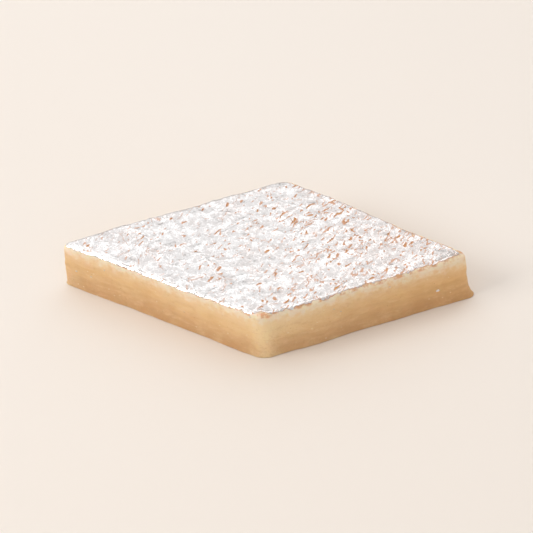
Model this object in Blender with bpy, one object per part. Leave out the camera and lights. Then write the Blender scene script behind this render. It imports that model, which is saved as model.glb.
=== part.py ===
"""A diamond of barfi: cashew fudge cut into a slightly uneven rhombus, with silver leaf on its top face.

Units are metres and +Z is up. The origin is the centre of the flat base, and +X runs along the long diagonal.
"""

import math

import bmesh
import bpy
from mathutils import Vector, noise

MM = 0.001

# The cut outline, before its corners are rounded
LONG_DIAGONAL = 71.7 * MM
SHORT_DIAGONAL = 35.4 * MM
LEFT_TIP_SHIFT = 1.6 * MM  # the left half is longer than the right half by twice this
BACK_CORNER_SHIFT = 0.5 * MM  # the back half is wider than the front half by twice this
LEFT_ROUNDING = 1.4 * MM  # how far along both of its sides the rounding of each corner reaches
RIGHT_ROUNDING = 2.4 * MM
FRONT_ROUNDING = 1.5 * MM
BACK_ROUNDING = 1.7 * MM

# The slab, from its top edge down to its base
THICKNESS = 9.4 * MM
EDGE_RADIUS = 0.85 * MM  # rounding of the top edge
DRAFT = 0.12 * MM  # how far each cut side leans in on its way up
FOOT_REACH = 0.22 * MM  # the paste that the knife dragged outwards along the base
FOOT_HEIGHT = 0.6 * MM
TOE_REACH = 0.22 * MM  # how much further the foot reaches at the right tip
TOE_HEIGHT = 0.9 * MM
TOE_LENGTH = 4.0 * MM
WALL_WOBBLE = 0.3 * MM
WOBBLE_LENGTH = 9.0 * MM

# The top face: a slow swell with the crumple of the leaf pressed into it
SWELL_HEIGHT = 0.2 * MM
SWELL_LENGTH = 17.0 * MM
CRUMPLE_HEIGHT = 0.45 * MM
CRUMPLE_LENGTH = 4.2 * MM
FINE_SHARE = 0.35  # of the crumple's height is in creases this much closer together:
FINE_SCALE = 1.9
CREST_LEVEL = 0.15  # the height of the creases' crests, as a share of the crumple's height

# The leaf. Real leaf is under a thousandth of a millimetre thick, so this is a stand-in thickness.
LEAF_THICKNESS = 0.2 * MM
LEAF_GAP = 0.26 * MM
LEAF_REACH = 0.42 * MM  # how far the leaf follows the rounding of the top edge, on average
LEAF_SHIFT = 0.22 * MM  # it reaches this much further at the left tip, and less far at the right tip
LEAF_RAGGEDNESS = 0.45 * MM
RAG_LENGTH = 2.6 * MM
LEAST_REACH = 0.08 * MM
MOST_REACH = 0.7 * MM

# Mesh density
CELLS = 34  # across the top face, each way
EDGE_CROWDING = 0.5  # 0 spaces the cells evenly, 1 packs them towards the rim
EDGE_ROWS = 4
WALL_ROWS = 6
FOOT_ROWS = 2

SLAB_COLOUR = (0.78, 0.56, 0.32)
LEAF_COLOUR = (0.86, 0.84, 0.82)

SIDE = math.hypot(LONG_DIAGONAL, SHORT_DIAGONAL) / 2
INRADIUS = LONG_DIAGONAL * SHORT_DIAGONAL / (4 * SIDE)

LEFT = Vector((-LONG_DIAGONAL / 2 - LEFT_TIP_SHIFT, 0))
RIGHT = Vector((LONG_DIAGONAL / 2 - LEFT_TIP_SHIFT, 0))
BACK = Vector((0, SHORT_DIAGONAL / 2 + BACK_CORNER_SHIFT))
FRONT = Vector((0, -SHORT_DIAGONAL / 2 + BACK_CORNER_SHIFT))


def clear_scene():
    for obj in list(bpy.data.objects):
        bpy.data.objects.remove(obj)


def material(name, colour, roughness, metallic):
    made = bpy.data.materials.new(name)
    made.use_nodes = True
    shader = made.node_tree.nodes["Principled BSDF"]
    shader.inputs["Base Color"].default_value = (*colour, 1)
    shader.inputs["Roughness"].default_value = roughness
    shader.inputs["Metallic"].default_value = metallic
    return made


def crowded(t):
    """Moves t, in -1..1, so that evenly spaced values crowd towards both ends."""
    return (1 - EDGE_CROWDING) * t + EDGE_CROWDING * math.sin(t * math.pi / 2)


def rounded_square(u, v):
    """Moves a point of the square -1..1 so that each corner of the square becomes a quarter circle."""
    if u > 0:
        rounding = RIGHT_ROUNDING if v > 0 else FRONT_ROUNDING
    else:
        rounding = BACK_ROUNDING if v > 0 else LEFT_ROUNDING
    start = 1 - 2 * rounding / SIDE
    a, b = abs(u) - start, abs(v) - start
    if a <= 0 or b <= 0:
        return u, v
    a, b = a / (1 - start), b / (1 - start)
    bent_a, bent_b = a * math.sqrt(1 - b * b / 2), b * math.sqrt(1 - a * a / 2)
    return (
        math.copysign(start + bent_a * (1 - start), u),
        math.copysign(start + bent_b * (1 - start), v),
    )


def plan_point(u, v):
    """A point of the plan: u and v, each in -1..1, run along the front left and the front right side."""
    u, v = rounded_square(crowded(u), crowded(v))
    front_half = LEFT * (1 - u) + FRONT * (1 + u)
    back_half = BACK * (1 - u) + RIGHT * (1 + u)
    return (front_half * (1 - v) + back_half * (1 + v)) / 4


def wall_inset(height):
    """How far the cut side stands inside the plan at a height above the base."""
    return DRAFT * height / THICKNESS - FOOT_REACH * math.exp(-height / FOOT_HEIGHT)


def wall_rows():
    """(inset, height) of each row of points, from the rim of the top face down to the base."""
    rows = []
    for i in range(EDGE_ROWS + 1):
        turn = i / EDGE_ROWS * math.pi / 2
        height = THICKNESS - EDGE_RADIUS * (1 - math.cos(turn))
        rows.append((wall_inset(height) + EDGE_RADIUS * (1 - math.sin(turn)), height))
    wall_top = THICKNESS - EDGE_RADIUS
    for i in range(1, WALL_ROWS + 1):
        height = wall_top + (FOOT_HEIGHT - wall_top) * i / WALL_ROWS
        rows.append((wall_inset(height), height))
    for i in range(1, FOOT_ROWS + 1):
        height = FOOT_HEIGHT * (1 - i / FOOT_ROWS)
        rows.append((wall_inset(height), height))
    return rows


def toe(plan, height):
    """How far the foot at the right tip stands out beyond the foot elsewhere."""
    away = (plan - RIGHT).length
    return TOE_REACH * math.exp(-((away / TOE_LENGTH) ** 2) - height / TOE_HEIGHT)


def swell(x, y):
    return SWELL_HEIGHT * noise.noise(Vector((x, y, 0)) / SWELL_LENGTH)


def crumple(x, y):
    """Sharp crests between rounded hollows, one wherever a noise crosses zero."""
    place = Vector((x, y, 0)) / CRUMPLE_LENGTH
    coarse = abs(noise.noise(place))
    fine = abs(noise.noise(place * FINE_SCALE))
    return CRUMPLE_HEIGHT * (CREST_LEVEL - (1 - FINE_SHARE) * coarse - FINE_SHARE * fine)


def slab_point(u, v, inset, height):
    """A point of the slab's surface. The relief of the top face fades out over the rounding of its edge."""
    plan = plan_point(u, v)
    plan *= 1 - (inset - toe(plan, height)) / INRADIUS
    wobble = WALL_WOBBLE * noise.noise(Vector((plan.x, plan.y, height)) / WOBBLE_LENGTH)
    plan *= 1 + wobble / INRADIUS
    relief = swell(plan.x, plan.y) + crumple(plan.x, plan.y)
    share = max(0, 1 - (THICKNESS - height) / EDGE_RADIUS)
    return Vector((plan.x, plan.y, height + share * relief))


def boundary(edges):
    return [e for e in edges if isinstance(e, bmesh.types.BMEdge) and e.is_boundary]


def slab_mesh():
    """A square grid for the top face, with its rim pulled down row by row, is bent into the slab."""
    bm = bmesh.new()
    bmesh.ops.create_grid(bm, x_segments=CELLS, y_segments=CELLS, size=1)
    rows = wall_rows()
    rim = boundary(bm.edges)
    for _ in rows[1:]:
        made = bmesh.ops.extrude_edge_only(bm, edges=rim)["geom"]
        rim = boundary(made)
        lowest = list({v for e in rim for v in e.verts})
        bmesh.ops.translate(bm, verts=lowest, vec=(0, 0, -1))
    base = bmesh.ops.contextual_create(bm, geom=rim)["faces"]
    for v in bm.verts:
        u, w, row = v.co
        v.co = slab_point(u, w, *rows[round(-row)])
    bmesh.ops.poke(bm, faces=base)
    return finished(bm, "barfi_slab")


def leaf_reach(u, v):
    """How far the torn edge of the leaf lies out over the rounding of the slab's edge."""
    shifted = LEAF_REACH - LEAF_SHIFT * (u + v) / 2
    ragged = shifted + LEAF_RAGGEDNESS * noise.noise(plan_point(u, v).to_3d() / RAG_LENGTH)
    return min(max(ragged, LEAST_REACH), MOST_REACH)


def leaf_mesh():
    """The top face's own grid, with a ragged row past its rim, lifted clear of the slab."""
    bm = bmesh.new()
    bmesh.ops.create_grid(bm, x_segments=CELLS, y_segments=CELLS, size=1)
    torn = bmesh.ops.extrude_edge_only(bm, edges=boundary(bm.edges))["geom"]
    torn_edge = {v for e in boundary(torn) for v in e.verts}
    inset, height = wall_rows()[0]
    for v in bm.verts:
        u, w = v.co.xy
        reach = leaf_reach(u, w) if v in torn_edge else 0
        drop = EDGE_RADIUS - math.sqrt(EDGE_RADIUS**2 - reach**2)  # of the rounding, that far out
        v.co = slab_point(u, w, inset - reach, height - drop) + Vector((0, 0, LEAF_GAP))
    return finished(bm, "silver_leaf")


def finished(bm, name):
    bmesh.ops.triangulate(bm, faces=bm.faces, quad_method="SHORT_EDGE")
    bmesh.ops.recalc_face_normals(bm, faces=bm.faces)
    mesh = bpy.data.meshes.new(name)
    bm.to_mesh(mesh)
    bm.free()
    mesh.shade_smooth()
    return mesh


def add_object(mesh, paint):
    obj = bpy.data.objects.new(mesh.name, mesh)
    obj.data.materials.append(paint)
    bpy.context.scene.collection.objects.link(obj)
    return obj


def centre_of_plan(mesh):
    xs = [v.co.x for v in mesh.vertices]
    ys = [v.co.y for v in mesh.vertices]
    return Vector(((min(xs) + max(xs)) / 2, (min(ys) + max(ys)) / 2, 0))


def main():
    clear_scene()
    slab = add_object(slab_mesh(), material("cashew_fudge", SLAB_COLOUR, roughness=0.55, metallic=0))
    leaf = add_object(leaf_mesh(), material("silver_leaf", LEAF_COLOUR, roughness=0.3, metallic=1))
    thickness = leaf.modifiers.new("thickness", "SOLIDIFY")
    thickness.thickness = LEAF_THICKNESS
    thickness.offset = 1
    centre = centre_of_plan(slab.data)
    for obj in (slab, leaf):
        obj.location = -centre


main()
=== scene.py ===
"""The looks of one diamond of barfi: cashew fudge under crumpled silver leaf, on a pale studio floor.

Shapes are worked out in millimetres, in the plan's own coordinates, and moved into the frame as they
become meshes.
"""

import math

import bpy
import numpy as np
from mathutils import Matrix, Vector, noise


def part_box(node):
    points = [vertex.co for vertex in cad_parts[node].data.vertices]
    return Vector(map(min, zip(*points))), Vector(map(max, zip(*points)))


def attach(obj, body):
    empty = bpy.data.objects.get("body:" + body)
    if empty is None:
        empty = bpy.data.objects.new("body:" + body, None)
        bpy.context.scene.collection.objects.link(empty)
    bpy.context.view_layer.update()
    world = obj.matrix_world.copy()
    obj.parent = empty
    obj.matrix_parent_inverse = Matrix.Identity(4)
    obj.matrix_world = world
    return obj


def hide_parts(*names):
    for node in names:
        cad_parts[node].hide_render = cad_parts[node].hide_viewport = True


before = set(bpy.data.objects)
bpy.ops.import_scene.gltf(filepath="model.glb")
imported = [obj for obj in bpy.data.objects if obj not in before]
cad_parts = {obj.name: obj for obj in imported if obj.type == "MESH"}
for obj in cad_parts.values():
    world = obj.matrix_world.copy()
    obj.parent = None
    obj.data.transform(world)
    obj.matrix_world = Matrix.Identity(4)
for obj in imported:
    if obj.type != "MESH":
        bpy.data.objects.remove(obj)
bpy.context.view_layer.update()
SLAB_LOW, SLAB_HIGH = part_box("barfi_slab")

MM = 0.001

# The plan and the profile repeat the solid's
LONG_DIAGONAL = 71.7
SHORT_DIAGONAL = 35.4
LEFT_TIP_SHIFT = 1.6
BACK_CORNER_SHIFT = 0.5
LEFT_ROUNDING = 1.4
RIGHT_ROUNDING = 2.4
FRONT_ROUNDING = 1.5
BACK_ROUNDING = 1.7
THICKNESS = 9.4
EDGE_RADIUS = 0.85
DRAFT = 0.12
FOOT_REACH = 0.22
FOOT_HEIGHT = 0.6
TOE_REACH = 0.22
TOE_HEIGHT = 0.9
TOE_LENGTH = 4.0
WALL_WOBBLE = 0.3
WOBBLE_LENGTH = 9.0
SWELL_HEIGHT = 0.2
SWELL_LENGTH = 17.0
CRUMPLE_HEIGHT = 0.34  # a little lower than the solid's, since the flat folds come on top
CRUMPLE_LENGTH = 4.2
FINE_SHARE = 0.35
FINE_SCALE = 1.9
CREST_LEVEL = 0.15
SIDE = math.hypot(LONG_DIAGONAL, SHORT_DIAGONAL) / 2
INRADIUS = LONG_DIAGONAL * SHORT_DIAGONAL / (4 * SIDE)
LEFT = np.array([-LONG_DIAGONAL / 2 - LEFT_TIP_SHIFT, 0])
RIGHT = np.array([LONG_DIAGONAL / 2 - LEFT_TIP_SHIFT, 0])
BACK = np.array([0, SHORT_DIAGONAL / 2 + BACK_CORNER_SHIFT])
FRONT = np.array([0, -SHORT_DIAGONAL / 2 + BACK_CORNER_SHIFT])

# The grid that the fudge and the leaf share over the top face
CELLS = 196
CROWDING = 0.1

# The flat folds pressed into the top: direction in degrees, spacing and height of each set
FLAT_FOLDS = (
    (12, 3.4, 0.045),
    (57, 2.6, 0.035),
    (103, 3.9, 0.055),
    (148, 2.2, 0.032),
    (80, 5.3, 0.065),
    (33, 1.5, 0.026),
    (125, 1.7, 0.03),
    (170, 1.3, 0.02),
)
FOLD_PATCH_LENGTH = 5.0  # each set shows in patches of about this size
FOLD_PATCH_EDGES = (-0.3, 0.25)  # the noise values where a patch fades in
FOLD_WAVER = 0.6
FOLD_WAVER_LENGTH = 2.8

# The rows of the fudge's cut sides and base
EDGE_ROWS = 9
WALL_ROWS = 34
FOOT_ROWS = 6
BASE_EDGE_RADIUS = 0.2
BASE_EDGE_TURNS = (math.pi / 6, math.pi / 3, math.pi / 2)
BASE_RINGS = (0.97, 0.85, 0.6, 0.3, 0.05)

# The top of the fudge under the leaf
LEAF_BED = 0.02  # it lies this much below the leaf
TOP_GRAIN_HEIGHT = 0.01
TOP_GRAIN_LENGTH = 0.45
COVERED_FROM = 0.1  # how far in from the rim it begins to count as covered
COVERED_BY = 0.6  # and is wholly covered

# The relief of the cut sides
STREAK_LENGTH = 9
STREAK_HEIGHT = 0.9
FINE_STREAK_SCALE = (2.3, 2.6, 1)
DRAG_HEIGHT = 0.07
DENT_DEPTH = 0.07
DENT_LENGTH = 3.1
SMALL_DENT_DEPTH = 0.02
SMALL_DENT_LENGTH = 0.8
PORE_DEPTH = 0.11
PORE_SPACING = 1.25
PORE_SIZE = 0.13  # mean radius, as a share of the spacing
PORE_SPREAD = 0.11  # it varies by up to this from patch to patch
PORE_PATCH_LENGTH = 2.2
LEAST_PORE = 0.02
PORE_SHARPNESS = 0.7
CHIP_DEPTH = 0.35
CHIP_LENGTH = 1.3
CHIP_LEVEL = 0.28
CHIPS_FROM = 1.5  # how far below the top the chips begin on the way up
CHIPS_FULL = 0.45  # and have their full depth
FOOT_UNEVENNESS = 0.16
FOOT_FADE = 0.5
FOOT_WAVE_LENGTH = 2.4
BASE_FADE = 0.3  # over this height above the base the relief fades
BASE_RELIEF = 0.5  # to this share

# Where the fudge is paler, partly dried and partly a painted highlight and painted light: along the
# upright corners, and high up around the front one
CORNER_DRY_AND_LIT = (0.3, 0.7, 0.1, 0.4)  # left, front, right, back
CORNER_REACH = 2.0
FRONT_REACH = 12
FRONT_DRY_AND_LIT = 0.5
RIGHT_SIDE_DRY_AND_LIT = 0.14  # more on the front right side, at every height
RIGHT_SIDE_HIGH_DRY_AND_LIT = 0.22  # and high up
PALER_FROM = 1.0  # high up means from this height
PALER_BY = 8.0  # and wholly from this one
SIDES_MEET = 1.5  # the front left side passes into the right one over this far each way

# The leaf
LEAF_THICKNESS = 0.012
LEAF_ROWS = 7
LEAF_REACH = 0.54
LEAF_SHIFT = 0.22  # it reaches this much further at the left tip, and less far at the right tip
MOST_REACH = 0.69
RAG_REACH = 0.45
RAG_LENGTH = 2.6
SMALL_RAG_REACH = 0.3
SMALL_RAG_LENGTH = 0.9
FINE_RAG_REACH = 0.16
FINE_RAG_LENGTH = 0.4
RAG_CALM = 0.7  # this share of the rags is missing at the left tip
FRONT_LEFT_REACH = 0.16  # it reaches this much further on the front left side
BARE_CORNER = 0.93  # the leaf is missing this share of the way from the middle to the front corner
BARE_CORNER_DEPTH = 1.1
BARE_CORNER_REACH = 1.3
CLING = 0.16  # the leaf's own folds fade out over this distance to a torn edge
WEAR_REACH = 0.13  # it is worn thin within this distance of one
LEAST_SCRAP = 24  # faces, and smaller loose scraps are dropped
CRISP_ANGLE = math.radians(55)

# The tears
TEAR_LENGTH = 0.4
TEAR_STRETCH = 2.1
TEAR_TURN = math.radians(62)  # from +X to the direction that most of the tears run in
TEAR_LEVEL = 0.66
LEAST_TEAR_LEVEL = 0.38
TEAR_WARP = 0.45
TEAR_WARP_LENGTH = 1.4
FRAY = 0.1
FRAY_LENGTH = 0.6
WORN_FROM = -14  # the X from which the tears grow more common to the right
WORN_BY = 16
WORN_LEAN = 0.35  # that X lies this much further left for each millimetre towards the back
WORN_SIDE = 0.15  # how much the level falls to the right
WORN_PATCHES = 0.2  # and from patch to patch
WORN_PATCH_LENGTH = 6.0

# The beads where the leaf was folded over itself
BEAD_COUNT = 26
BEAD_FIELD = 0.92  # their middles lie within this share of the top face
BEAD_HALF_LENGTHS = (0.5, 1.7)
BEAD_HEIGHTS = (0.05, 0.13)
BEAD_HALF_WIDTHS = (0.12, 0.2)
BEAD_WAVER = 0.35
BEAD_WAVER_LENGTH = 1.2

# The two beads by the right tip: each end's distance from the tip along the front right side and
# in from it, then height and half width
TIP_BEADS = (
    ((6.6, 1.25), (3.4, 1.3), 0.26, 0.26),
    ((3.6, 1.5), (2.5, 1.0), 0.34, 0.4),
)

# The leaf's own creases
CREASE_SPACING = 4.6
CREASE_HEIGHT = 0.07
CREASE_WIDTH = 0.06
CREASE_PATCH_LENGTH = 6.5
CREASE_PATCH_EDGES = (-0.1, 0.2)
RIDGE_HEIGHT = 0.035
RIDGE_LENGTH = 1.5
RIDGE_SHARPNESS = 5
RIDGE_PATCH_LENGTH = 4.0
RIDGE_PATCH_EDGES = (-0.3, 0.3)

# The scraps of leaf on the cut sides
FLAKE_COUNT = 13
FLAKE_START = 0.6 * EDGE_RADIUS  # how far below the top the highest can lie
FLAKE_SPREAD = 7.0  # how far down from there they lie, most of them high up
FLAKE_BIAS = 1.8
FLAKE_SIZE = 0.12
FLAKE_SIZE_SPREAD = 0.3
FLAKE_CORNERS = (6, 9)  # from the first number to one below the second
FLAKE_LEAST_REACH = 0.55  # of a corner, as a share of the size
FLAKE_WIDENING = 1.5
FLAKE_FLATTENING = 0.8
FLAKE_LIFT = 0.03
FLAKE_FRONT = 0.03  # how far the plate reaches out from its middle
FLAKE_BACK = 0.06  # and in, so that it sits in the fudge

# The studio. Azimuth 0 is in front of the piece, at -Y, and 90 is at its right, at +X.
LOOK_AT = Vector((0, 0, (SLAB_LOW.z + SLAB_HIGH.z) / 2))
CAMERA_AZIMUTH = 11.65
CAMERA_ELEVATION = 42.85
CAMERA_DISTANCE = 0.52
CAMERA_ROLL = 6.4  # the piece leans left in the picture by this much
CAMERA_LENS = 205
CAMERA_NEAREST = 0.05
CAMERA_FARTHEST = 20
FLOOR_RADIUS = 4.0
FLOOR_CORNERS = 96
WORLD_STRENGTH = 0.35
KEY_WHITE = (255, 252, 248)
BACK_WHITE = (253, 252, 252)
OVERHEAD_WHITE = (255, 252, 249)
FILL_WHITE = (255, 253, 251)

# Name, azimuth, elevation, distance, width, height, brightness and colour of each light
LIGHTS = (
    ("key", -68, 38, 0.9, 0.45, 0.45, 5.2, KEY_WHITE),
    ("back", 196, 46, 1.1, 2.0, 1.3, 0.59, BACK_WHITE),
    ("back_left", 216, 44, 1.0, 0.1, 1.1, 1.0, BACK_WHITE),
    ("back_right", 168, 44, 1.0, 0.1, 1.1, 1.0, BACK_WHITE),
    ("overhead", 0, 89, 1.2, 1.7, 1.7, 0.32, OVERHEAD_WHITE),
    ("back_far_left", 258, 34, 1.3, 0.8, 0.9, 0.3, FILL_WHITE),
    ("back_far_right", 138, 34, 1.3, 0.9, 0.9, 0.45, FILL_WHITE),
    ("front", 5, 32, 1.3, 1.8, 0.9, 0.21, FILL_WHITE),
    ("front_strip", 14, 27, 1.3, 0.2, 0.6, 1.1, FILL_WHITE),
    ("front_low_left", -40, 22, 1.3, 0.7, 0.7, 0.2, FILL_WHITE),
    ("front_low_right", 48, 17, 1.3, 0.9, 0.6, 0.26, FILL_WHITE),
    ("right", 92, 30, 1.3, 1.5, 0.9, 0.16, FILL_WHITE),
    ("right_strip", 84, 26, 1.3, 0.2, 0.6, 0.9, FILL_WHITE),
)

# How far apart the patterns of two seeds lie in a noise
PERLIN_STEP = (13.7, 5.1, 8.3)
VORONOI_STEP = (4.9, 11.3, 2.7)


def perlin(points, length, seed=0):
    """A smooth noise, about -1 to 1, at each point, with features of about that length."""
    shift = Vector(PERLIN_STEP) * seed
    return np.array([noise.noise(Vector(p) / length + shift) for p in points])


def cell_distances(points, length, seed=0):
    """The distances, in cells, from each point to the nearest two of a scatter of points."""
    shift = Vector(VORONOI_STEP) * seed
    return np.array([noise.voronoi(Vector(p) / length + shift)[0][:2] for p in points]).T


def smooth(x, low, high):
    t = np.clip((x - low) / (high - low), 0, 1)
    return t * t * (3 - 2 * t)


def flat(xy):
    """Plan points as 3-D points at height 0."""
    return np.column_stack([xy, np.zeros(len(xy))])


def rounded_square(u, v):
    """Points of the square -1..1, moved so that each corner of the square becomes a quarter circle."""
    right_half = np.where(v > 0, RIGHT_ROUNDING, FRONT_ROUNDING)
    left_half = np.where(v > 0, BACK_ROUNDING, LEFT_ROUNDING)
    rounding = np.where(u > 0, right_half, left_half)
    start = 1 - 2 * rounding / SIDE
    a = np.maximum(np.abs(u) - start, 0) / (1 - start)
    b = np.maximum(np.abs(v) - start, 0) / (1 - start)
    at_corner = (a > 0) & (b > 0)
    bent_u = np.sign(u) * (start + a * np.sqrt(1 - b * b / 2) * (1 - start))
    bent_v = np.sign(v) * (start + b * np.sqrt(1 - a * a / 2) * (1 - start))
    return np.where(at_corner, bent_u, u), np.where(at_corner, bent_v, v)


def plan(u, v):
    """Points of the plan: u and v, in -1..1, run along the front left and the front right side."""
    u, v = (x[:, None] for x in rounded_square(u, v))
    front_half = LEFT * (1 - u) + FRONT * (1 + u)
    back_half = BACK * (1 - u) + RIGHT * (1 + u)
    return (front_half * (1 - v) + back_half * (1 + v)) / 4


def placed(u, v, inset, height):
    """Points of the slab's plain surface, with the slow wobble of its cut sides but no relief."""
    xy = plan(u, v)
    away = np.linalg.norm(xy - RIGHT, axis=1) / TOE_LENGTH
    toe = TOE_REACH * np.exp(-(away**2) - height / TOE_HEIGHT)
    xy = xy * (1 - (inset - toe) / INRADIUS)[:, None]
    points = np.column_stack([xy, np.broadcast_to(height, len(xy))])
    wobble = WALL_WOBBLE * perlin(points, WOBBLE_LENGTH)
    points[:, :2] *= (1 + wobble / INRADIUS)[:, None]
    return points


def wavered(at):
    """Points moved about, so that straight folds laid out over them waver."""
    drift = [perlin(at, FOLD_WAVER_LENGTH, 14), perlin(at, FOLD_WAVER_LENGTH, 15), np.zeros(len(at))]
    return at + FOLD_WAVER * np.column_stack(drift)


def bed_relief(xy):
    """The relief that the top of the fudge shares with the leaf: the solid's own, and flat folds."""
    at = flat(xy)
    coarse = np.abs(perlin(at, CRUMPLE_LENGTH))
    fine = np.abs(perlin(at, CRUMPLE_LENGTH / FINE_SCALE))
    crumple = CREST_LEVEL - (1 - FINE_SHARE) * coarse - FINE_SHARE * fine
    height = SWELL_HEIGHT * perlin(at, SWELL_LENGTH) + CRUMPLE_HEIGHT * crumple
    wavering = wavered(at)
    for seed, (turn, spacing, fold) in enumerate(FLAT_FOLDS, start=20):
        across = (math.cos(math.radians(turn)), math.sin(math.radians(turn)), 0)
        t = wavering @ across / spacing
        mask = smooth(perlin(at, FOLD_PATCH_LENGTH, seed), *FOLD_PATCH_EDGES)
        height += fold * mask * np.abs(2 * (t - np.floor(t)) - 1)
    return height


def square_grid(count, crowding):
    """(u, v, quads, rim) of a grid over -1..1. The rim lists its points anticlockwise from above."""
    t = np.linspace(-1, 1, count + 1)
    t = (1 - crowding) * t + crowding * np.sin(t * math.pi / 2)
    u, v = np.meshgrid(t, t, indexing="ij")
    index = np.arange((count + 1) ** 2).reshape(count + 1, count + 1)
    corners = [index[:-1, :-1], index[1:, :-1], index[1:, 1:], index[:-1, 1:]]
    quads = np.stack(corners, -1).reshape(-1, 4)
    rim = np.concatenate([index[:-1, 0], index[-1, :-1], index[:0:-1, -1], index[0, :0:-1]])
    return u.ravel(), v.ravel(), quads, rim


def ring_quads(upper, lower):
    """Quads between two closed rows of points, facing out where the rows run anticlockwise."""
    return np.stack([upper, lower, np.roll(lower, -1), np.roll(upper, -1)], -1)


def hung(top, quads, rim, rings):
    """(points, quads, lowest row) of a grid with closed rows of points hung from its rim."""
    faces = [quads]
    upper = rim
    count = len(top)
    for _ in rings:
        lower = np.arange(count, count + len(rim))
        faces.append(ring_quads(upper, lower))
        upper = lower
        count += len(rim)
    return np.concatenate([top, *rings]), np.concatenate(faces), upper


def wall_inset(height):
    return DRAFT * height / THICKNESS - FOOT_REACH * math.exp(-height / FOOT_HEIGHT)


def wall_rows():
    """(inset, height) of each row of the cut side, from just past the rim of the top to the base."""
    rows = []
    for i in range(1, EDGE_ROWS + 1):
        turn = i / EDGE_ROWS * math.pi / 2
        height = THICKNESS - EDGE_RADIUS * (1 - math.cos(turn))
        rows.append((wall_inset(height) + EDGE_RADIUS * (1 - math.sin(turn)), height))
    wall_top = THICKNESS - EDGE_RADIUS
    for i in range(1, WALL_ROWS + 1):
        height = wall_top + (FOOT_HEIGHT - wall_top) * i / WALL_ROWS
        rows.append((wall_inset(height), height))
    for i in range(1, FOOT_ROWS + 1):
        height = FOOT_HEIGHT + (BASE_EDGE_RADIUS - FOOT_HEIGHT) * i / FOOT_ROWS
        rows.append((wall_inset(height), height))
    lowest = rows[-1][0]
    for turn in BASE_EDGE_TURNS:
        inset = lowest + BASE_EDGE_RADIUS * (1 - math.cos(turn))
        rows.append((inset, BASE_EDGE_RADIUS * (1 - math.sin(turn))))
    return rows


TOP_INSET = wall_inset(THICKNESS) + EDGE_RADIUS


def outward(ring):
    """The unit plan normals of a closed row of points that runs anticlockwise."""
    along = np.roll(ring, -1, axis=0) - np.roll(ring, 1, axis=0)
    normal = np.column_stack([along[:, 1], -along[:, 0]])
    return normal / np.linalg.norm(normal, axis=1, keepdims=True)


def arc_length(ring):
    steps = np.linalg.norm(np.roll(ring, -1, axis=0) - ring, axis=1)
    return np.concatenate([[0], np.cumsum(steps)[:-1]])


def wall_relief(points, along):
    """How far the cut side stands out at each point: knife drag, dents, pores and a chipped edge."""
    z = points[:, 2]
    streak_at = np.column_stack([along / STREAK_LENGTH, z / STREAK_HEIGHT, np.zeros(len(z))])
    fine_at = streak_at * FINE_STREAK_SCALE
    drag = DRAG_HEIGHT * perlin(streak_at, 1) + DRAG_HEIGHT / 2 * perlin(fine_at, 1, 1)
    dents = DENT_DEPTH * perlin(points, DENT_LENGTH, 2)
    dents += SMALL_DENT_DEPTH * perlin(points, SMALL_DENT_LENGTH, 3)
    near = cell_distances(points, PORE_SPACING, 4)[0]
    pore_size = PORE_SIZE + PORE_SPREAD * perlin(points, PORE_PATCH_LENGTH, 5)
    pore = np.clip(1 - near / np.maximum(pore_size, LEAST_PORE), 0, 1)
    pores = -PORE_DEPTH * pore**PORE_SHARPNESS
    near_top = smooth(z, THICKNESS - CHIPS_FROM, THICKNESS - CHIPS_FULL)
    chips = -CHIP_DEPTH * near_top * np.maximum(perlin(points, CHIP_LENGTH, 6) - CHIP_LEVEL, 0)
    foot = FOOT_UNEVENNESS * np.exp(-z / FOOT_FADE) * perlin(points * (1, 1, 0), FOOT_WAVE_LENGTH, 7)
    return drag + dents + pores + chips + foot


def in_frame(points):
    """Points in the plan's millimetres as metres in the frame, where the slab's box sets the place."""
    shift = (np.array(SLAB_LOW) + np.array(SLAB_HIGH)) / 2
    shift[2] = 0
    return (points - [*PLAN_CENTRE, 0]) * MM + shift


def plan_centre():
    u, v, _, rim = square_grid(CELLS, CROWDING)
    outline = placed(u[rim], v[rim], wall_inset(0), 0)[:, :2]
    return (outline.min(0) + outline.max(0)) / 2


PLAN_CENTRE = plan_centre()


def add_piece(name, points, faces, paint, slot, **values):
    """A smooth-shaded mesh from points in the plan's millimetres, riding on the root body.

    Each further argument is a value per point that the material reads by its name.
    """
    mesh = bpy.data.meshes.new(name)
    mesh.from_pydata(in_frame(np.asarray(points)).tolist(), [], faces)
    mesh.validate()
    mesh.shade_smooth()
    mesh.materials.append(paint)
    for key, value in values.items():
        mesh.attributes.new(key, "FLOAT", "POINT").data.foreach_set("value", value.astype(np.float32))
    piece = bpy.data.objects.new(name, mesh)
    bpy.context.scene.collection.objects.link(piece)
    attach(piece, "root")
    return piece


def slab():
    """The fudge: its top under the leaf, its four cut sides and its base."""
    u, v, quads, rim = square_grid(CELLS, CROWDING)
    top = placed(u, v, TOP_INSET, THICKNESS)
    grain = TOP_GRAIN_HEIGHT * perlin(top, TOP_GRAIN_LENGTH, 8)
    top[:, 2] += bed_relief(top[:, :2]) - LEAF_BED + grain
    rings = []
    for inset, height in wall_rows():
        ring = placed(u[rim], v[rim], inset, height)
        relief = wall_relief(ring, arc_length(ring[:, :2]))
        level = smooth(height, 0, BASE_FADE)
        ring[:, :2] += outward(ring[:, :2]) * relief[:, None] * max(level, BASE_RELIEF)
        share = max(0, 1 - (THICKNESS - height) / EDGE_RADIUS)
        ring[:, 2] += share * (bed_relief(ring[:, :2]) - LEAF_BED)
        rings.append(ring)
    edge = rings[-1]
    rings += [edge * (scale, scale, 1) for scale in BASE_RINGS]
    points, quads, lowest = hung(top, quads, rim, rings)
    return points, [*quads.tolist(), lowest[::-1].tolist()]


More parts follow.
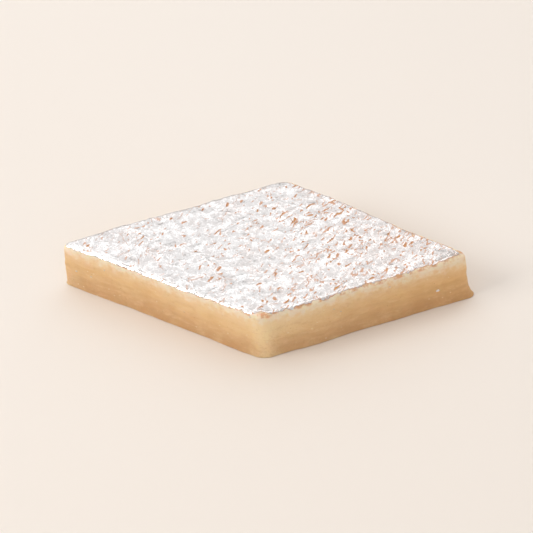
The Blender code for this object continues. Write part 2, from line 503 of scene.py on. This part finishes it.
def dryness_and_light(points):
    """How much paler the fudge is at each point, partly dried and partly a painted highlight and painted
    light.
    """
    corners = plan(np.array([-1, 1, 1, -1]), np.array([-1, -1, 1, 1]))
    dry_and_lit = np.zeros(len(points))
    for corner, most in zip(corners, CORNER_DRY_AND_LIT):
        away = np.linalg.norm(points[:, :2] - corner, axis=1)
        dry_and_lit = np.maximum(dry_and_lit, most * np.exp(-((away / CORNER_REACH) ** 2)))
    front = corners[1]
    away = np.linalg.norm(points[:, :2] - front, axis=1)
    high = smooth(points[:, 2], PALER_FROM, PALER_BY)
    right_side = smooth(points[:, 0] - front[0], -SIDES_MEET, SIDES_MEET)
    right_side = right_side * (RIGHT_SIDE_DRY_AND_LIT + RIGHT_SIDE_HIGH_DRY_AND_LIT * high)
    return dry_and_lit + (FRONT_DRY_AND_LIT * high + right_side) * np.exp(-((away / FRONT_REACH) ** 2))


def under_leaf(points):
    """1 at the fudge's points that lie well under the leaf, 0 at those past the rim of the top."""
    u, v, _, rim = square_grid(CELLS, CROWDING)
    rim_line = placed(u[rim], v[rim], TOP_INSET, THICKNESS)[:, :2]
    covered = np.zeros(len(points))
    inward = distance_to_line(points[: len(u), :2], rim_line)
    covered[: len(u)] = smooth(inward, COVERED_FROM, COVERED_BY)
    return covered


def distance_to_line(points, line):
    """The distance of each plan point to a closed row of points."""
    best = np.full(len(points), np.inf)
    for a, b in zip(line, np.roll(line, -1, axis=0)):
        step = b - a
        t = np.clip((points - a) @ step / max(step @ step, 1e-12), 0, 1)
        best = np.minimum(best, np.hypot(*(points - a - t[:, None] * step).T))
    return best


def tears(xy):
    """The rough distance of each plan point to the nearest small tear of the leaf, negative inside."""
    c, s = math.cos(TEAR_TURN), math.sin(TEAR_TURN)
    at = flat(xy)
    along = xy @ (c, s) / TEAR_STRETCH
    across = xy @ (-s, c)
    stretched = np.column_stack([along, across, np.zeros(len(xy))])
    drift = [perlin(at, TEAR_WARP_LENGTH, 9), perlin(at, TEAR_WARP_LENGTH, 10), np.zeros(len(xy))]
    warped = stretched + TEAR_WARP * np.column_stack(drift)
    marks = perlin(warped, TEAR_LENGTH, 11) + FRAY * perlin(at, FRAY_LENGTH, 12)
    worn_side = smooth(xy[:, 0] + WORN_LEAN * xy[:, 1], WORN_FROM, WORN_BY)
    patches = perlin(at, WORN_PATCH_LENGTH, 13)
    level = TEAR_LEVEL - WORN_SIDE * worn_side - WORN_PATCHES * patches
    return (np.maximum(level, LEAST_TEAR_LEVEL) - marks) * TEAR_LENGTH


def beads():
    """(start, end, height, half width) of each bead: two by the right tip, the others anywhere."""
    rng = np.random.default_rng(21)
    along = (RIGHT - FRONT) / np.linalg.norm(RIGHT - FRONT)
    inward = np.array([-along[1], along[0]])
    found = []
    for (start_along, start_in), (end_along, end_in), high, wide in TIP_BEADS:
        start = RIGHT - start_along * along + start_in * inward
        end = RIGHT - end_along * along + end_in * inward
        found.append((start, end, high, wide))
    for _ in range(BEAD_COUNT):
        across, up = rng.uniform(-BEAD_FIELD, BEAD_FIELD, 2)
        middle = plan(np.array([across]), np.array([up]))[0]
        turn = rng.uniform(0, math.pi)
        reach = rng.uniform(*BEAD_HALF_LENGTHS) * np.array([math.cos(turn), math.sin(turn)])
        high = rng.uniform(*BEAD_HEIGHTS)
        wide = rng.uniform(*BEAD_HALF_WIDTHS)
        found.append((middle - reach, middle + reach, high, wide))
    return found


def folded_over(xy):
    """Height of the short beads where the leaf was folded over itself."""
    at = flat(xy)
    drift = [perlin(at, BEAD_WAVER_LENGTH, 30), perlin(at, BEAD_WAVER_LENGTH, 31)]
    wavering = xy + BEAD_WAVER * np.column_stack(drift)
    height = np.zeros(len(xy))
    for start, end, high, wide in beads():
        step = end - start
        t = np.clip((wavering - start) @ step / (step @ step), 0, 1)
        away = np.linalg.norm(wavering - start - t[:, None] * step, axis=1) / wide
        height = np.maximum(height, high * np.sqrt(np.maximum(1 - away**2, 0)))
    return height


def leaf_folds(xy):
    """Height of the leaf's own creases over the relief that it shares with the fudge."""
    at = flat(xy)
    wavering = wavered(at)
    near, second = cell_distances(wavering, CREASE_SPACING, 1)
    creased = smooth(perlin(at, CREASE_PATCH_LENGTH, 16), *CREASE_PATCH_EDGES)
    lift = CREASE_HEIGHT * creased * np.clip(1 - (second - near) / CREASE_WIDTH, 0, 1)
    ridges = 1 - np.minimum(np.abs(perlin(wavering, RIDGE_LENGTH, 17)) * RIDGE_SHARPNESS, 1)
    lift += RIDGE_HEIGHT * ridges * smooth(perlin(at, RIDGE_PATCH_LENGTH, 18), *RIDGE_PATCH_EDGES)
    return lift + folded_over(xy)


def clipped(points, triangles, field):
    """The part of a triangle mesh where the field is positive, cut along its zero line."""
    value = field.tolist()
    points = points.tolist()
    sources = list(range(len(points)))
    cuts = {}

    def cut(i, j):
        key = (min(i, j), max(i, j))
        if key not in cuts:
            t = value[i] / (value[i] - value[j])
            p, q = np.array(points[i]), np.array(points[j])
            cuts[key] = len(points)
            points.append((p + (q - p) * t).tolist())
            sources.append(i)
        return cuts[key]

    inside = field > 0
    kept = inside[triangles].sum(1)
    faces = triangles[kept == 3].tolist()
    for tri in triangles[(kept > 0) & (kept < 3)].tolist():
        outline = []
        for i, j in zip(tri, tri[1:] + tri[:1]):
            if inside[i]:
                outline.append(i)
            if inside[i] != inside[j]:
                outline.append(cut(i, j))
        faces.append(outline)
    return np.array(points), faces, sources


def without_scraps(points, faces, least):
    """Drops the connected patches of fewer faces than least, and the points that nothing uses."""
    owner = list(range(len(points)))

    def root(i):
        while owner[i] != i:
            owner[i] = owner[owner[i]]
            i = owner[i]
        return i

    for face in faces:
        for i in face[1:]:
            owner[root(i)] = root(face[0])
    sizes = {}
    for face in faces:
        group = root(face[0])
        sizes[group] = sizes.get(group, 0) + 1
    faces = [f for f in faces if sizes[root(f[0])] >= least]
    used = sorted({i for f in faces for i in f})
    new = {old: k for k, old in enumerate(used)}
    return points[used], [[new[i] for i in f] for f in faces], used


def leaf_margin(xy, rim_u, rim_v):
    """How far out past the rim of the top face the leaf reaches near each point.

    Each point comes with the u and v of the grid point that it is, or that it hangs from.
    """
    to_right = (rim_u + rim_v) / 2
    at = flat(xy)
    small_rags = SMALL_RAG_REACH * perlin(at, SMALL_RAG_LENGTH, 16)
    fine_rags = FINE_RAG_REACH * perlin(at, FINE_RAG_LENGTH, 17)
    ragged = RAG_REACH * perlin(at, RAG_LENGTH) + (small_rags + fine_rags)
    front_left = smooth(-rim_v, 0.8, 1)
    calm = RAG_CALM * smooth(-to_right, -0.2, 0.5)
    margin = LEAF_REACH - LEAF_SHIFT * to_right + ragged * (1 - calm)
    margin += FRONT_LEFT_REACH * front_left * smooth(-to_right, -0.1, 0.2)
    from_corner = np.linalg.norm(xy - FRONT * BARE_CORNER, axis=1)
    return margin - BARE_CORNER_DEPTH * np.exp(-((from_corner / BARE_CORNER_REACH) ** 2))


def leaf():
    """The leaf: a grid over the top face and down part of its rounded edge, creased, then torn."""
    u, v, quads, rim = square_grid(CELLS, CROWDING)
    top = placed(u, v, TOP_INSET, THICKNESS)
    reach = -distance_to_line(top[:, :2], top[rim, :2])
    reach[rim] = 0
    rings = []
    reaches = [reach]
    slopes = [np.tile([0.0, 0.0, 1.0], (len(top), 1))]
    for i in range(1, LEAF_ROWS + 1):
        out = MOST_REACH * i / LEAF_ROWS
        drop = EDGE_RADIUS - math.sqrt(EDGE_RADIUS**2 - out**2)
        ring = placed(u[rim], v[rim], TOP_INSET - out, THICKNESS - drop)
        tilt = out / EDGE_RADIUS
        side = outward(ring[:, :2]) * tilt
        rings.append(ring)
        reaches.append(np.full(len(rim), out))
        slopes.append(np.column_stack([side, np.full(len(rim), math.sqrt(1 - tilt**2))]))
    points, quads, _ = hung(top, quads, rim, rings)
    reach = np.concatenate(reaches)
    normals = np.concatenate(slopes)
    triangles = np.concatenate([quads[:, [0, 1, 3]], quads[:, [1, 2, 3]]])

    xy = points[:, :2]
    share = np.maximum(0, 1 - (THICKNESS - points[:, 2]) / EDGE_RADIUS)
    rim_u = np.concatenate([u] + [u[rim]] * LEAF_ROWS)
    rim_v = np.concatenate([v] + [v[rim]] * LEAF_ROWS)
    present = np.minimum(leaf_margin(xy, rim_u, rim_v) - reach, tears(xy))
    points[:, 2] += share * bed_relief(xy)
    clinging = smooth(present, 0, CLING)
    points += normals * (leaf_folds(xy) * clinging)[:, None]
    points, faces, sources = clipped(points, triangles, present)
    points, faces, used = without_scraps(points, faces, LEAST_SCRAP)
    wear = 1 - smooth(present, 0.0, WEAR_REACH)
    return points, faces, wear[np.array(sources)[used]]


def thicken(piece, thickness):
    """Turns a sheet into a closed shell whose edges stay crisp, so that no shading runs over them."""
    backing = piece.modifiers.new("thickness", "SOLIDIFY")
    backing.thickness = thickness
    backing.offset = 1
    bpy.context.view_layer.update()
    shell = bpy.data.meshes.new_from_object(piece.evaluated_get(bpy.context.evaluated_depsgraph_get()))
    piece.modifiers.clear()
    piece.data = shell
    shell.set_sharp_from_angle(angle=CRISP_ANGLE)


def flake_outline(rng, size):
    """A few corners round a point, uneven, as (across, up) offsets."""
    turns = np.sort(rng.uniform(0, 2 * math.pi, rng.integers(*FLAKE_CORNERS)))
    reach = size * rng.uniform(FLAKE_LEAST_REACH, 1.0, len(turns))
    across = reach * np.cos(turns) * FLAKE_WIDENING
    up = reach * np.sin(turns) * FLAKE_FLATTENING
    return np.column_stack([across, up])


def flakes():
    """Tiny scraps of leaf that the knife left on the cut sides, each a thin closed plate."""
    rng = np.random.default_rng(5)
    u, v, _, rim = square_grid(CELLS, CROWDING)
    points, faces = [], []
    for _ in range(FLAKE_COUNT):
        height = THICKNESS - FLAKE_START - FLAKE_SPREAD * rng.random() ** FLAKE_BIAS
        ring = placed(u[rim], v[rim], wall_inset(height), height)
        where = rng.integers(len(rim))
        normal = np.array([*outward(ring[:, :2])[where], 0])
        relief = wall_relief(ring, arc_length(ring[:, :2]))[where]
        across = np.array([-normal[1], normal[0], 0])
        up = np.array([0, 0, 1])
        centre = ring[where] + normal * (relief + FLAKE_LIFT)
        offsets = flake_outline(rng, FLAKE_SIZE + FLAKE_SIZE_SPREAD * rng.random() ** 2)
        first, sides = len(points), len(offsets)
        points += [centre + across * a + up * b + normal * FLAKE_FRONT for a, b in offsets]
        points += [centre + across * a + up * b - normal * FLAKE_BACK for a, b in offsets]
        front = list(range(first, first + sides))
        back = list(range(first + sides, first + 2 * sides))
        faces.append(front)
        faces.append(back[::-1])
        for i in range(sides):
            j = (i + 1) % sides
            faces.append([front[j], front[i], back[i], back[j]])
    return np.array(points), faces


def srgb(red, green, blue):
    """A colour given as 0..255 screen values, as the linear values that a shader takes."""
    values = np.array([red, green, blue]) / 255
    linear = np.where(values <= 0.04045, values / 12.92, ((values + 0.055) / 1.055) ** 2.4)
    return (*linear.tolist(), 1)


# The colours of the fudge, the leaf, the floor and the light all round
# The fudge's low colour is browner as painted shade at the base, and its high colour is paler, partly
# dried and partly painted light
FUDGE_LOW_SHADED = srgb(210, 163, 115)
FUDGE_MIDDLE = srgb(235, 193, 138)
FUDGE_HIGH_DRIED_AND_LIT = srgb(246, 214, 168)
# paler where dried, and a painted highlight and painted light at the front corner and on the front right
# side
FUDGE_DRY_AND_LIT = srgb(255, 226, 178)
FUDGE_MOTTLE = srgb(252, 224, 176)
FUDGE_PALE_CLUMP = srgb(252, 220, 174)
FUDGE_DARK_CLUMP = srgb(215, 166, 115)
FUDGE_GRAIN = srgb(224, 176, 120)
FUDGE_PALE_SPOT = srgb(252, 232, 198)
FUDGE_DARK_SPOT = srgb(186, 130, 80)
# a warm tint towards the right tip: painted warm light
FUDGE_GOLDEN_LIGHT = (1.0, 0.96, 0.87, 1)
# paler high up and near the top rim: partly dried and frosted fudge, partly painted light and a painted
# highlight along the rim
FUDGE_FADED_AND_LIT = srgb(254, 222, 180)
FUDGE_FROSTED_AND_LIT = srgb(255, 235, 211)
# the fudge seen through the tears: painted browner than the sides, as painted shade in the pits
FUDGE_BARE_SHADED = srgb(222, 158, 106)
SILVER = srgb(244, 245, 247)
SILVER_DULL = srgb(235, 233, 234)
SILVER_CLOUDED = srgb(229, 223, 222)
SILVER_HAZY = srgb(229, 218, 213)
# where the leaf is worn through: the fudge, darker and browner than its own colour as painted shade in
# the tears
LEAF_WORN_SHADED = srgb(208, 148, 108)
FLOOR_PALE = srgb(243, 237, 231)
FLOOR_SHADED = srgb(241, 234, 227)
WORLD_WHITE = srgb(253, 246, 239)


def add_node(tree, kind, inputs, **settings):
    made = tree.nodes.new("ShaderNode" + kind)
    for key, value in settings.items():
        setattr(made, key, value)
    for key, value in inputs.items():
        if isinstance(value, bpy.types.NodeSocket):
            tree.links.new(value, made.inputs[key])
        else:
            made.inputs[key].default_value = value
    return made


def math_node(tree, operation, *values):
    return add_node(tree, "Math", dict(enumerate(values)), operation=operation).outputs[0]


def vector_node(tree, operation, *values):
    return add_node(tree, "VectorMath", dict(enumerate(values)), operation=operation).outputs[0]


def axis(tree, at, name):
    return add_node(tree, "SeparateXYZ", {0: at}).outputs[name]


def point_value(tree, name):
    """A value that the mesh holds for each point."""
    return add_node(tree, "Attribute", {}, attribute_name=name).outputs["Fac"]


def noise_value(tree, at, scale, detail=3, roughness=0.5, distortion=0):
    inputs = {
        "Vector": at,
        "Scale": scale,
        "Detail": detail,
        "Roughness": roughness,
        "Distortion": distortion,
    }
    return add_node(tree, "TexNoise", inputs).outputs["Fac"]


def remap(tree, value, from_low, from_high, to_low, to_high):
    inputs = {
        "Value": value,
        "From Min": from_low,
        "From Max": from_high,
        "To Min": to_low,
        "To Max": to_high,
    }
    return add_node(tree, "MapRange", inputs, interpolation_type="SMOOTHSTEP").outputs["Result"]


def mix_colour(tree, factor, first, second, blend="MIX"):
    inputs = {0: factor, 6: first, 7: second}
    return add_node(tree, "Mix", inputs, data_type="RGBA", blend_type=blend).outputs[2]


def new_material(name):
    """(material, node tree, its shader, the surface point in millimetres)."""
    made = bpy.data.materials.new(name)
    made.use_nodes = True
    tree = made.node_tree
    place = add_node(tree, "TexCoord", {}).outputs["Object"]
    return made, tree, tree.nodes["Principled BSDF"], vector_node(tree, "MULTIPLY", place, (1 / MM,) * 3)


def spots(tree, at, scale, radius, rarity):
    """Soft round spots, one in each of some of the cells."""
    cell = add_node(tree, "TexVoronoi", {"Vector": at, "Scale": scale, "Randomness": 1.0})
    chance = add_node(tree, "SeparateColor", {0: cell.outputs["Color"]}).outputs[0]
    spot = remap(tree, cell.outputs["Distance"], radius * scale * 0.4, radius * scale, 1, 0)
    return math_node(tree, "MULTIPLY", spot, remap(tree, chance, rarity, rarity + 0.2, 0, 0.6))


def fudge_tone(tree, at, mottle):
    """Browner low down as painted shade, paler high up partly as dried fudge and partly as painted
    light, and warmer towards the right tip as painted warm light, in wavering bands, with clumps, grain
    and spots over them.
    """
    z = axis(tree, at, "Z")
    grain = noise_value(tree, at, 2.6, detail=4, roughness=0.65)
    blotches = noise_value(tree, at, 0.9, detail=3, roughness=0.6)
    banded_at = vector_node(tree, "MULTIPLY", at, (0.13, 0.13, 1.1))
    bands = noise_value(tree, banded_at, 1.0, detail=3, roughness=0.55, distortion=0.3)
    level = math_node(tree, "ADD", z, math_node(tree, "MULTIPLY_ADD", bands, 3.2, -1.6))
    clumped_at = vector_node(tree, "MULTIPLY", at, (0.3, 0.3, 0.8))
    clumps = noise_value(tree, clumped_at, 1.0, detail=5, roughness=0.65, distortion=0.3)
    # paler where dried, and a painted highlight and painted light at the corners, the front corner and
    # the front right side
    dry_and_lit = math_node(tree, "MULTIPLY", point_value(tree, "dry_and_lit"), remap(tree, grain, 0.3, 0.6, 0.5, 1))

    # warmer towards the right tip: painted warm light
    golden_light = math_node(tree, "MULTIPLY_ADD", mottle, 22.0, -11.0)
    golden_light = math_node(tree, "ADD", golden_light, axis(tree, at, "X"))
    # paler high up and frosted near the top rim: partly dried and frosted fudge, partly painted light
    # and a painted highlight along the rim
    faded_and_lit = remap(tree, z, 5.2, 8.6, 0, 0.85)
    faded_and_lit = math_node(tree, "MULTIPLY", faded_and_lit, remap(tree, blotches, 0.3, 0.6, 0.5, 1))
    frosted_and_lit = math_node(tree, "ADD", z, math_node(tree, "MULTIPLY_ADD", blotches, 5.0, -2.5))
    # the ragged top rim and the fudge under the leaf take the bare colour, which is browner as painted
    # shade
    ragged = remap(tree, noise_value(tree, at, 0.8, detail=4, roughness=0.65), 0.45, 0.62, 0, 0.8)
    ragged = math_node(tree, "MULTIPLY", remap(tree, z, 8.8, 9.1, 0, 1), ragged)
    bare = math_node(tree, "MAXIMUM", ragged, point_value(tree, "bare"))

    layers = (
        # paler high up: partly dried fudge, partly painted light
        (remap(tree, level, 6.6, 9.2, 0, 0.6), FUDGE_HIGH_DRIED_AND_LIT, "MIX"),
        (dry_and_lit, FUDGE_DRY_AND_LIT, "MIX"),
        (remap(tree, mottle, 0.35, 0.75, 0, 0.3), FUDGE_MOTTLE, "MIX"),
        (remap(tree, clumps, 0.5, 0.68, 0, 0.3), FUDGE_PALE_CLUMP, "MIX"),
        (remap(tree, clumps, 0.5, 0.3, 0, 0.35), FUDGE_DARK_CLUMP, "MIX"),
        (remap(tree, grain, 0.5, 0.8, 0, 0.35), FUDGE_GRAIN, "MIX"),
        (spots(tree, at, 0.85, 0.2, 0.62), FUDGE_PALE_SPOT, "MIX"),
        (spots(tree, at, 1.3, 0.12, 0.7), FUDGE_DARK_SPOT, "MIX"),
        (remap(tree, golden_light, 12, 34, 0, 1), FUDGE_GOLDEN_LIGHT, "MULTIPLY"),
        (faded_and_lit, FUDGE_FADED_AND_LIT, "MIX"),
        (remap(tree, frosted_and_lit, 7.2, 9.2, 0, 0.85), FUDGE_FROSTED_AND_LIT, "MIX"),
        (bare, FUDGE_BARE_SHADED, "MIX"),
    )
    # browner low down: painted shade at the base
    tone = mix_colour(tree, remap(tree, level, 0.4, 6.0, 0, 1), FUDGE_LOW_SHADED, FUDGE_MIDDLE)
    for factor, colour, blend in layers:
        tone = mix_colour(tree, factor, tone, colour, blend)
    return tone


def fudge_material():
    made, tree, shader, at = new_material("cashew_fudge")
    mottle = noise_value(tree, at, 0.28, detail=4, roughness=0.6, distortion=0.5)
    tree.links.new(fudge_tone(tree, at, mottle), shader.inputs["Base Color"])
    tree.links.new(remap(tree, mottle, 0.25, 0.75, 0.4, 0.58), shader.inputs["Roughness"])
    shader.inputs["Subsurface Weight"].default_value = 0.3
    shader.inputs["Subsurface Radius"].default_value = (1.0, 0.5, 0.22)
    shader.inputs["Subsurface Scale"].default_value = 1.3 * MM
    shader.inputs["Specular IOR Level"].default_value = 0.4
    rough = noise_value(tree, at, 0.9, detail=8, roughness=0.74)
    bump = add_node(tree, "Bump", {"Strength": 0.7, "Distance": 0.3 * MM, "Height": rough})
    tree.links.new(bump.outputs[0], shader.inputs["Normal"])
    return made


def crease_lines(tree, at, scale, width):
    """Thin lines, 1 on the line and 0 beside it, along the borders of irregular cells."""
    inputs = {"Vector": at, "Scale": scale, "Randomness": 1.0}
    border = add_node(tree, "TexVoronoi", inputs, feature="DISTANCE_TO_EDGE").outputs["Distance"]
    return remap(tree, border, 0, width * scale, 1, 0)


def facet_tilt(tree, at, scale, most, normal):
    """The normal, tipped a different way on each of many small flat facets."""
    cell = add_node(tree, "TexVoronoi", {"Vector": at, "Scale": scale, "Randomness": 1.0})
    tilt = vector_node(tree, "MULTIPLY_ADD", cell.outputs["Color"], (most,) * 3, (-most / 2,) * 3)
    return vector_node(tree, "ADD", normal, tilt)


def small_tears(tree, at):
    """Marks too fine for the mesh, mostly strokes one way, and closer together to the right."""
    inputs = {"Vector": at, "Rotation": (0, 0, TEAR_TURN), "Scale": (2.0, 1.0, 1.0)}
    stretched = add_node(tree, "Mapping", inputs, vector_type="TEXTURE").outputs[0]
    marks = noise_value(tree, stretched, 1.5, detail=2.5, roughness=0.6, distortion=0.5)
    patches = noise_value(tree, at, 0.2, detail=2)
    worn_side = remap(tree, axis(tree, at, "X"), -20, 26, -0.06, 0.02)
    marks = math_node(tree, "ADD", marks, worn_side)
    marks = math_node(tree, "ADD", marks, remap(tree, patches, 0.35, 0.65, -0.04, 0.04))
    return remap(tree, marks, 0.61, 0.7, 0, 0.8)


def leaf_wear(tree, at, bent, specks, patchy):
    """Where the fudge shows through: along the tears, in pinholes, hairlines and fine marks."""
    thin = math_node(tree, "MULTIPLY_ADD", specks, 1.0, -0.45)
    worn = remap(tree, math_node(tree, "ADD", point_value(tree, "wear"), thin), 0.35, 0.8, 0, 0.9)
    pinholes = remap(tree, specks, 0.68, 0.76, 0, 0.8)
    hairlines = remap(tree, patchy, 0.5, 0.58, 0, 0.7)
    hairlines = math_node(tree, "MULTIPLY", crease_lines(tree, bent, 0.16, 0.1), hairlines)
    for mark in (pinholes, hairlines, small_tears(tree, at)):
        worn = math_node(tree, "MAXIMUM", worn, mark)
    return worn


def leaf_tone(tree, at, patchy):
    """Silver, duller in patches and clouds, and hazy towards the right tip."""
    clouds = noise_value(tree, at, 0.22, detail=3)
    drift = math_node(tree, "MULTIPLY_ADD", clouds, 40.0, -20.0)
    drift = math_node(tree, "ADD", drift, axis(tree, at, "X"))
    tone = mix_colour(tree, remap(tree, patchy, 0.3, 0.7, 0, 1), SILVER, SILVER_DULL)
    tone = mix_colour(tree, remap(tree, clouds, 0.48, 0.7, 0, 0.5), tone, SILVER_CLOUDED)
    return mix_colour(tree, remap(tree, drift, -8, 34, 0, 0.35), tone, SILVER_HAZY)


def leaf_normal(tree, at, bent, patchy):
    """Creases too fine for the mesh, and small facets, each tipped its own way."""
    coarse = remap(tree, patchy, 0.42, 0.6, 0.1, 0.8)
    coarse = math_node(tree, "MULTIPLY", crease_lines(tree, bent, 0.75, 0.1), coarse)
    fine = remap(tree, patchy, 0.6, 0.42, 0, 0.45)
    fine = math_node(tree, "MULTIPLY", crease_lines(tree, bent, 1.6, 0.07), fine)
    wrinkle = noise_value(tree, at, 1.3, detail=2, roughness=0.5, distortion=1.0)
    wrinkle = math_node(tree, "MULTIPLY", wrinkle, 0.45)
    height = math_node(tree, "ADD", math_node(tree, "ADD", coarse, fine), wrinkle)
    bump = add_node(tree, "Bump", {"Strength": 0.5, "Distance": 0.06 * MM, "Height": height})
    normal = facet_tilt(tree, bent, 2.4, 0.17, bump.outputs[0])
    normal = facet_tilt(tree, bent, 0.95, 0.15, normal)
    return vector_node(tree, "NORMALIZE", normal)


def leaf_material():
    made, tree, shader, at = new_material("silver_leaf")
    patchy = noise_value(tree, at, 0.6, detail=4, roughness=0.6)
    specks = noise_value(tree, at, 3.2, detail=4, roughness=0.65, distortion=0.5)
    swirl = add_node(tree, "TexNoise", {"Vector": at, "Scale": 0.7, "Detail": 3.0}).outputs["Color"]
    bent = vector_node(tree, "MULTIPLY_ADD", swirl, (1.1,) * 3, at)
    worn = leaf_wear(tree, at, bent, specks, patchy)
    # worn places take the fudge's colour, darkened as painted shade
    tone = mix_colour(tree, worn, leaf_tone(tree, at, patchy), LEAF_WORN_SHADED)
    tree.links.new(tone, shader.inputs["Base Color"])
    tree.links.new(remap(tree, worn, 0, 1, 0.88, 0), shader.inputs["Metallic"])
    tree.links.new(remap(tree, specks, 0.3, 0.7, 0.14, 0.26), shader.inputs["Roughness"])
    tree.links.new(leaf_normal(tree, at, bent, patchy), shader.inputs["Normal"])
    return made


def floor_material():
    made, tree, shader, at = new_material("studio_floor")
    cloud = noise_value(tree, at, 0.004, detail=2)
    tone = mix_colour(tree, remap(tree, cloud, 0.3, 0.7, 0, 1), FLOOR_PALE, FLOOR_SHADED)
    tree.links.new(tone, shader.inputs["Base Color"])
    shader.inputs["Roughness"].default_value = 0.75
    shader.inputs["Specular IOR Level"].default_value = 0.2
    return made


def direction(azimuth, elevation):
    a, e = math.radians(azimuth), math.radians(elevation)
    return Vector((math.sin(a) * math.cos(e), -math.cos(a) * math.cos(e), math.sin(e)))


def looking(azimuth, elevation, distance, roll=0):
    """The matrix of a camera or light out in that direction that looks at the piece."""
    back = direction(azimuth, elevation)
    right = Vector((0, 0, 1)).cross(back).normalized()
    up = back.cross(right)
    r = math.radians(roll)
    x = right * math.cos(r) - up * math.sin(r)
    y = right * math.sin(r) + up * math.cos(r)
    matrix = Matrix((x, y, back)).transposed().to_4x4()
    matrix.translation = LOOK_AT + back * distance
    return matrix


def softbox(name, azimuth, elevation, distance, width, height, brightness, colour):
    light = bpy.data.lights.new(name, "AREA")
    light.shape = "RECTANGLE"
    light.size = width
    light.size_y = height
    light.energy = brightness * math.pi * width * height
    light.color = srgb(*colour)[:3]
    lamp = bpy.data.objects.new(name, light)
    lamp.matrix_world = looking(azimuth, elevation, distance)
    bpy.context.scene.collection.objects.link(lamp)


def add_floor():
    mesh = bpy.data.meshes.new("floor")
    turns = np.linspace(0, 2 * math.pi, FLOOR_CORNERS, endpoint=False)
    ring = np.column_stack([np.cos(turns), np.sin(turns), np.zeros(FLOOR_CORNERS)]) * FLOOR_RADIUS
    mesh.from_pydata(ring.tolist(), [], [list(range(FLOOR_CORNERS))])
    mesh.materials.append(floor_material())
    floor = bpy.data.objects.new("floor", mesh)
    bpy.context.scene.collection.objects.link(floor)


def add_camera():
    data = bpy.data.cameras.new("camera")
    data.lens = CAMERA_LENS
    data.clip_start = CAMERA_NEAREST
    data.clip_end = CAMERA_FARTHEST
    camera = bpy.data.objects.new("camera", data)
    camera.matrix_world = looking(CAMERA_AZIMUTH, CAMERA_ELEVATION, CAMERA_DISTANCE, CAMERA_ROLL)
    bpy.context.scene.collection.objects.link(camera)
    bpy.context.scene.camera = camera


def add_world():
    world = bpy.data.worlds.new("studio")
    world.use_nodes = True
    backdrop = world.node_tree.nodes["Background"]
    backdrop.inputs["Color"].default_value = WORLD_WHITE
    backdrop.inputs["Strength"].default_value = WORLD_STRENGTH
    bpy.context.scene.world = world


fudge_paint = fudge_material()
leaf_paint = leaf_material()

slab_points, slab_faces = slab()
slab_values = {"dry_and_lit": dryness_and_light(slab_points), "bare": under_leaf(slab_points)}
slab_piece = add_piece("barfi_body", slab_points, slab_faces, fudge_paint, "cashew_fudge", **slab_values)
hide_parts("barfi_slab")

leaf_points, leaf_faces, worn_edge = leaf()
leaf_piece = add_piece(
    "silver_leaf_sheet", leaf_points, leaf_faces, leaf_paint, "silver_leaf", wear=worn_edge
)
thicken(leaf_piece, LEAF_THICKNESS * MM)
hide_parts("silver_leaf")

flake_points, flake_faces = flakes()
flake_piece = add_piece("leaf_flakes", flake_points, flake_faces, leaf_paint, "silver_leaf")
flake_piece.data.shade_flat()

add_floor()
add_camera()
add_world()
for light in LIGHTS:
    softbox(*light)
bpy.context.scene.view_settings.view_transform = "Standard"
